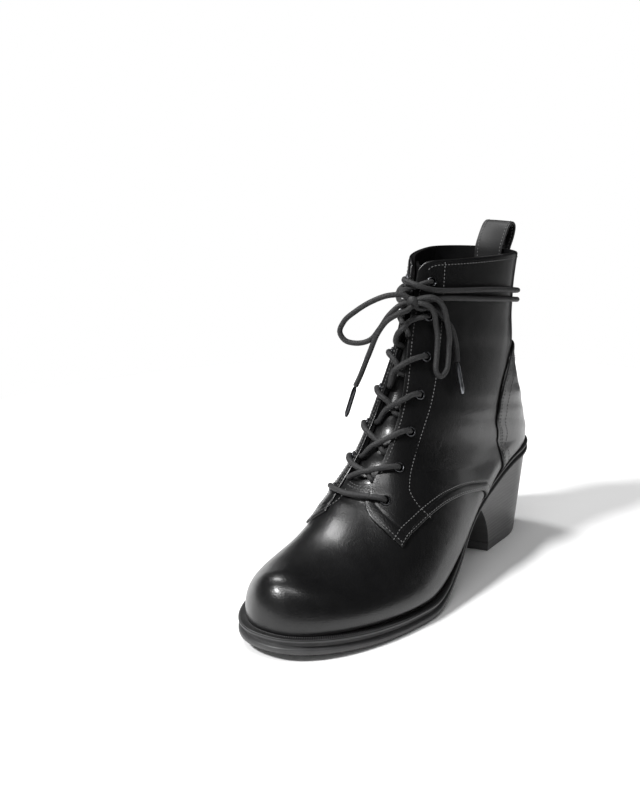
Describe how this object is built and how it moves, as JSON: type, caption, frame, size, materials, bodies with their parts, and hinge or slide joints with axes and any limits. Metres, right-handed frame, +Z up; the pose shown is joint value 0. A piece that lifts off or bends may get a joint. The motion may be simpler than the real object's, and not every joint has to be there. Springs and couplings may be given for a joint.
{
  "type": "lace-up ankle boot",
  "caption": "Left lace-up ankle boot of black leather, with a welted sole, a stacked block heel, a pull loop and laces tied in a bow round the ankle.",
  "frame": {"origin": "on the floor, under the middle of the heel, on the line from the back of the sole to the toe's tip", "axes": "+Z up, -Y from the heel to the toe, +X to the outer side of the left foot"},
  "size_m": [0.0947, 0.262, 0.1987],
  "materials": {
    "black_leather": "smooth polished black leather",
    "lining": "matte dark lining",
    "sole_rubber": "satin black rubber",
    "stacked_leather": "stacked layers stained black, fine level lines",
    "gunmetal": "dark gunmetal",
    "waxed_cord": "round black waxed cord"
  },
  "bodies": {
    "root": {"counter": "black_leather", "eyelet_inner_1": "gunmetal", "eyelet_inner_2": "gunmetal", "eyelet_inner_3": "gunmetal", "eyelet_inner_4": "gunmetal", "eyelet_inner_5": "gunmetal", "eyelet_inner_6": "gunmetal", "eyelet_inner_7": "gunmetal", "eyelet_outer_1": "gunmetal", "eyelet_outer_2": "gunmetal", "eyelet_outer_3": "gunmetal", "eyelet_outer_4": "gunmetal", "eyelet_outer_5": "gunmetal", "eyelet_outer_6": "gunmetal", "eyelet_outer_7": "gunmetal", "heel": "stacked_leather", "insole": "lining", "lace_aglet_left": "gunmetal", "lace_aglet_right": "gunmetal", "lace_bar": "waxed_cord", "lace_crossing_2": "waxed_cord", "lace_crossing_3": "waxed_cord", "lace_crossing_4": "waxed_cord", "lace_crossing_5": "waxed_cord", "lace_crossing_6": "waxed_cord", "lace_end_left": "waxed_cord", "lace_end_right": "waxed_cord", "lace_knot": "waxed_cord", "lace_loop_left": "waxed_cord", "lace_loop_right": "waxed_cord", "lace_wrap_lower": "waxed_cord", "lace_wrap_upper": "waxed_cord", "outsole": "sole_rubber", "pull_loop": "black_leather", "quarter_inner": "black_leather", "quarter_outer": "black_leather", "tongue": "black_leather", "top_lift": "sole_rubber", "upper": "black_leather", "welt": "sole_rubber"}
  },
  "joints": []
}
